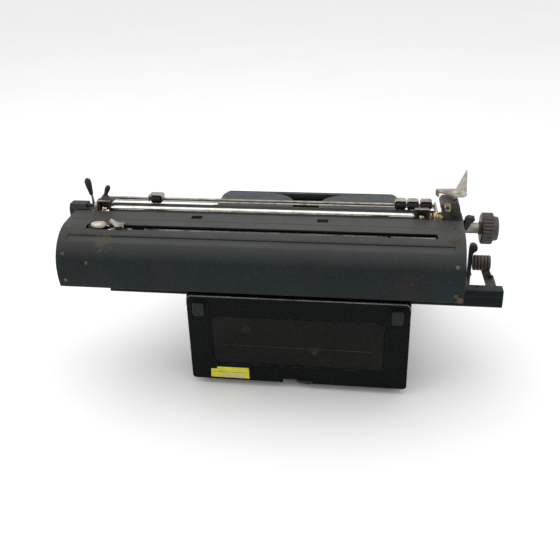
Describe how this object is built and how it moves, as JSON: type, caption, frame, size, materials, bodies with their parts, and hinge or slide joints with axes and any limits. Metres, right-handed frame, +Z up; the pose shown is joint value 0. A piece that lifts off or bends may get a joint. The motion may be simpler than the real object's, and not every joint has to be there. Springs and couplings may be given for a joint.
{
  "type": "wide-carriage manual typewriter",
  "caption": "Dark manual office typewriter with a wide sliding carriage under a long rounded rear cover, platen, paper bail, hinged ribbon lid and sloping keyboard.",
  "frame": {"origin": "middle of the bounding box at rest, on the desk", "axes": "+X to the typist's right along the carriage, +Y to the back, +Z up"},
  "size_m": [0.58, 0.4, 0.293],
  "materials": {
    "body_paint": "satin dark grey-green enamel, worn at the edges",
    "panel_paint": "gloss black enamel with a brownish field",
    "frame_paint": "black japanned",
    "end_casting": "grey-green enamel",
    "steel": "tarnished",
    "nickel": "nickel plate, stained",
    "rubber": "matt black",
    "key_plastic": "moulded",
    "knob_plastic": "dark brown moulded",
    "brass": "dull",
    "buffer": "hard brown rubber"
  },
  "bodies": {
    "machine_body": {"base_frame": "frame_paint", "rubber_feet": "rubber", "left_side_panel": "body_paint", "right_side_panel": "body_paint", "rear_panel": "panel_paint", "rear_bumpers": "rubber", "front_apron": "body_paint", "front_hood": "body_paint", "carriage_bed": "body_paint", "bed_rails": "steel", "stop_bracket": "frame_paint", "stop_buffer": "buffer", "type_guide": "steel", "ribbon_cups": "frame_paint", "key_lever_shaft": "steel", "bell": "brass"},
    "lid": {"ribbon_cover": "body_paint"},
    "roller_cage": {"roller_cage": "steel"},
    "bed_lock": {"bed_lock_lever": "frame_paint"},
    "spool_left": {"ribbon_spool_left": "frame_paint"},
    "spool_right": {"ribbon_spool_right": "frame_paint"},
    "vibrator": {"ribbon_vibrator": "steel"},
    "row_1": {"key_row_1": "key_plastic"},
    "row_2": {"key_row_2": "key_plastic"},
    "row_3": {"key_row_3": "key_plastic"},
    "row_4": {"key_row_4": "key_plastic"},
    "middle_key": {"middle_key": "key_plastic"},
    "space_bar": {"space_bar": "key_plastic"},
    "shift": {"shift_keys": "key_plastic"},
    "shift_lock": {"shift_lock_key": "key_plastic"},
    "backspace": {"backspace_key": "key_plastic"},
    "tab": {"tab_key": "key_plastic"},
    "basket": {"segment": "steel", "typebars": "steel"},
    "middle_typebar": {"middle_typebar": "steel"},
    "drum": {"spring_drum": "frame_paint"},
    "escapement": {"escapement_wheel": "steel"},
    "carriage": {"carriage_frame": "frame_paint", "carriage_end_left": "end_casting", "carriage_end_right": "frame_paint", "rear_cover": "body_paint", "cover_end_ribs": "frame_paint", "cover_screws": "steel", "paper_pan": "steel", "margin_rack": "steel", "escapement_rack": "steel", "paper_rest_rod": "nickel"},
    "platen": {"platen": "rubber", "platen_core": "steel", "platen_knob": "knob_plastic", "knob_cap": "knob_plastic"},
    "feed_front": {"feed_rollers_front": "rubber"},
    "feed_rear": {"feed_rollers_rear": "rubber"},
    "bail": {"bail_bar": "nickel"},
    "bail_rollers": {"bail_rollers": "rubber"},
    "stop_left": {"margin_stop_left": "nickel"},
    "stop_right": {"margin_stop_right": "nickel"},
    "return_lever": {"return_lever": "nickel"},
    "paper_release": {"paper_release_lever": "frame_paint"},
    "line_space": {"line_space_lever": "frame_paint"}
  },
  "joints": [
    {"name": "carriage_travel", "type": "slide", "parent": "machine_body", "child": "carriage", "axis": [1, 0, 0], "range_m": [-0.237, 0.143]},
    {"name": "roller_cage_travel", "type": "slide", "parent": "machine_body", "child": "roller_cage", "axis": [1, 0, 0], "range_m": [-0.119, 0.072]},
    {"name": "drum_turn", "type": "hinge", "parent": "machine_body", "child": "drum", "pos_m": [-0.121, 0.13029, 0.1], "axis": [0, 1, 0], "range_deg": [-640, 400]},
    {"name": "escapement_turn", "type": "hinge", "parent": "machine_body", "child": "escapement", "pos_m": [-0.021, 0.05029, 0.15785], "axis": [0, 1, 0], "range_deg": [-1150, 700]},
    {"name": "lid_hinge", "type": "hinge", "parent": "machine_body", "child": "lid", "pos_m": [-0.021, 0.04929, 0.2233], "axis": [-1, 0, 0], "range_deg": [0, 70]},
    {"name": "bed_lock_hinge", "type": "hinge", "parent": "machine_body", "child": "bed_lock", "pos_m": [-0.2545, 0.03529, 0.1355], "axis": [1, 0, 0], "range_deg": [0, 25]},
    {"name": "spool_left_turn", "type": "hinge", "parent": "machine_body", "child": "spool_left", "pos_m": [-0.099, 0.01629, 0.212], "axis": [0, 0, 1], "continuous": true},
    {"name": "spool_right_turn", "type": "hinge", "parent": "machine_body", "child": "spool_right", "pos_m": [0.057, 0.01629, 0.212], "axis": [0, 0, 1], "continuous": true},
    {"name": "vibrator_rise", "type": "slide", "parent": "machine_body", "child": "vibrator", "axis": [0, 0, 1], "range_m": [0, 0.008]},
    {"name": "row_1_press", "type": "hinge", "parent": "machine_body", "child": "row_1", "pos_m": [-0.021, 0.10629, 0.044], "axis": [1, 0, 0], "range_deg": [0, 2.4], "stiffness_Nm_per_rad": 2, "springref_deg": -6.88},
    {"name": "row_2_press", "type": "hinge", "parent": "machine_body", "child": "row_2", "pos_m": [-0.021, 0.10629, 0.044], "axis": [1, 0, 0], "range_deg": [0, 2.4], "stiffness_Nm_per_rad": 2, "springref_deg": -6.88},
    {"name": "row_3_press", "type": "hinge", "parent": "machine_body", "child": "row_3", "pos_m": [-0.021, 0.10629, 0.044], "axis": [1, 0, 0], "range_deg": [0, 2.4], "stiffness_Nm_per_rad": 2, "springref_deg": -6.88},
    {"name": "row_4_press", "type": "hinge", "parent": "machine_body", "child": "row_4", "pos_m": [-0.021, 0.10629, 0.044], "axis": [1, 0, 0], "range_deg": [0, 2.4], "stiffness_Nm_per_rad": 2, "springref_deg": -6.88},
    {"name": "middle_key_press", "type": "hinge", "parent": "machine_body", "child": "middle_key", "pos_m": [-0.021, 0.10629, 0.044], "axis": [1, 0, 0], "range_deg": [0, 2.5]},
    {"name": "space_bar_press", "type": "hinge", "parent": "machine_body", "child": "space_bar", "pos_m": [-0.021, 0.10629, 0.044], "axis": [1, 0, 0], "range_deg": [0, 2.4], "stiffness_Nm_per_rad": 0.8, "springref_deg": -6.88},
    {"name": "shift_press", "type": "hinge", "parent": "machine_body", "child": "shift", "pos_m": [-0.021, 0.10629, 0.044], "axis": [1, 0, 0], "range_deg": [0, 2.5]},
    {"name": "shift_lock_press", "type": "hinge", "parent": "machine_body", "child": "shift_lock", "pos_m": [-0.021, 0.10629, 0.044], "axis": [1, 0, 0], "range_deg": [0, 2.4], "stiffness_Nm_per_rad": 0.5, "springref_deg": -5.73},
    {"name": "backspace_press", "type": "hinge", "parent": "machine_body", "child": "backspace", "pos_m": [-0.021, 0.10629, 0.044], "axis": [1, 0, 0], "range_deg": [0, 2.4], "stiffness_Nm_per_rad": 0.5, "springref_deg": -5.73},
    {"name": "tab_press", "type": "hinge", "parent": "machine_body", "child": "tab", "pos_m": [-0.021, 0.10629, 0.044], "axis": [1, 0, 0], "range_deg": [0, 2.4], "stiffness_Nm_per_rad": 0.5, "springref_deg": -5.73},
    {"name": "basket_shift", "type": "slide", "parent": "machine_body", "child": "basket", "axis": [0, 0, 1], "range_m": [-0.005, 0], "stiffness_N_per_m": 600, "springref_m": 0.016},
    {"name": "typebar_swing", "type": "hinge", "parent": "basket", "child": "middle_typebar", "pos_m": [-0.021, 0.03029, 0.1575], "axis": [-1, 0, 0], "range_deg": [0, 128], "stiffness_Nm_per_rad": 0.004, "springref_deg": -28.65},
    {"name": "platen_turn", "type": "hinge", "parent": "carriage", "child": "platen", "pos_m": [0.026, 0.08829, 0.2285], "axis": [1, 0, 0], "continuous": true},
    {"name": "feed_front_turn", "type": "hinge", "parent": "carriage", "child": "feed_front", "pos_m": [0.026, 0.07029, 0.20538], "axis": [1, 0, 0], "continuous": true},
    {"name": "feed_rear_turn", "type": "hinge", "parent": "carriage", "child": "feed_rear", "pos_m": [0.026, 0.10629, 0.20538], "axis": [1, 0, 0], "continuous": true},
    {"name": "bail_hinge", "type": "hinge", "parent": "carriage", "child": "bail", "pos_m": [0.026, 0.10729, 0.253], "axis": [-1, 0, 0], "range_deg": [0, 45]},
    {"name": "bail_rollers_turn", "type": "hinge", "parent": "bail", "child": "bail_rollers", "pos_m": [0.026, 0.07529, 0.25307], "axis": [1, 0, 0], "continuous": true},
    {"name": "margin_stop_left_slide", "type": "slide", "parent": "carriage", "child": "stop_left", "axis": [1, 0, 0], "range_m": [-0.386, 0.005]},
    {"name": "margin_stop_right_slide", "type": "slide", "parent": "carriage", "child": "stop_right", "axis": [1, 0, 0], "range_m": [-0.005, 0.002]},
    {"name": "return_lever_swing", "type": "hinge", "parent": "carriage", "child": "return_lever", "pos_m": [-0.217, 0.10029, 0.2655], "axis": [0, 0, 1], "range_deg": [0, 38], "stiffness_Nm_per_rad": 0.05, "springref_deg": -17.19},
    {"name": "paper_release_hinge", "type": "hinge", "parent": "carriage", "child": "paper_release", "pos_m": [0.263, 0.09829, 0.2385], "axis": [1, 0, 0], "range_deg": [0, 30]},
    {"name": "line_space_turn", "type": "hinge", "parent": "carriage", "child": "line_space", "pos_m": [-0.241, 0.08829, 0.2285], "axis": [1, 0, 0], "range_deg": [-15, 15]}
  ],
  "couplings": [
    {"joint": "roller_cage_travel", "follows": "carriage_travel", "ratio": 0.5},
    {"joint": "drum_turn", "follows": "carriage_travel", "rad_per_m": 45.455},
    {"joint": "escapement_turn", "follows": "carriage_travel", "rad_per_m": 83.333},
    {"joint": "middle_key_press", "follows": "typebar_swing", "ratio": 0.01875},
    {"joint": "vibrator_rise", "follows": "typebar_swing", "m_per_rad": 0.003536},
    {"joint": "shift_press", "follows": "basket_shift", "rad_per_m": -8.3776},
    {"joint": "feed_front_turn", "follows": "platen_turn", "ratio": -2.625},
    {"joint": "feed_rear_turn", "follows": "platen_turn", "ratio": -2.625}
  ]
}
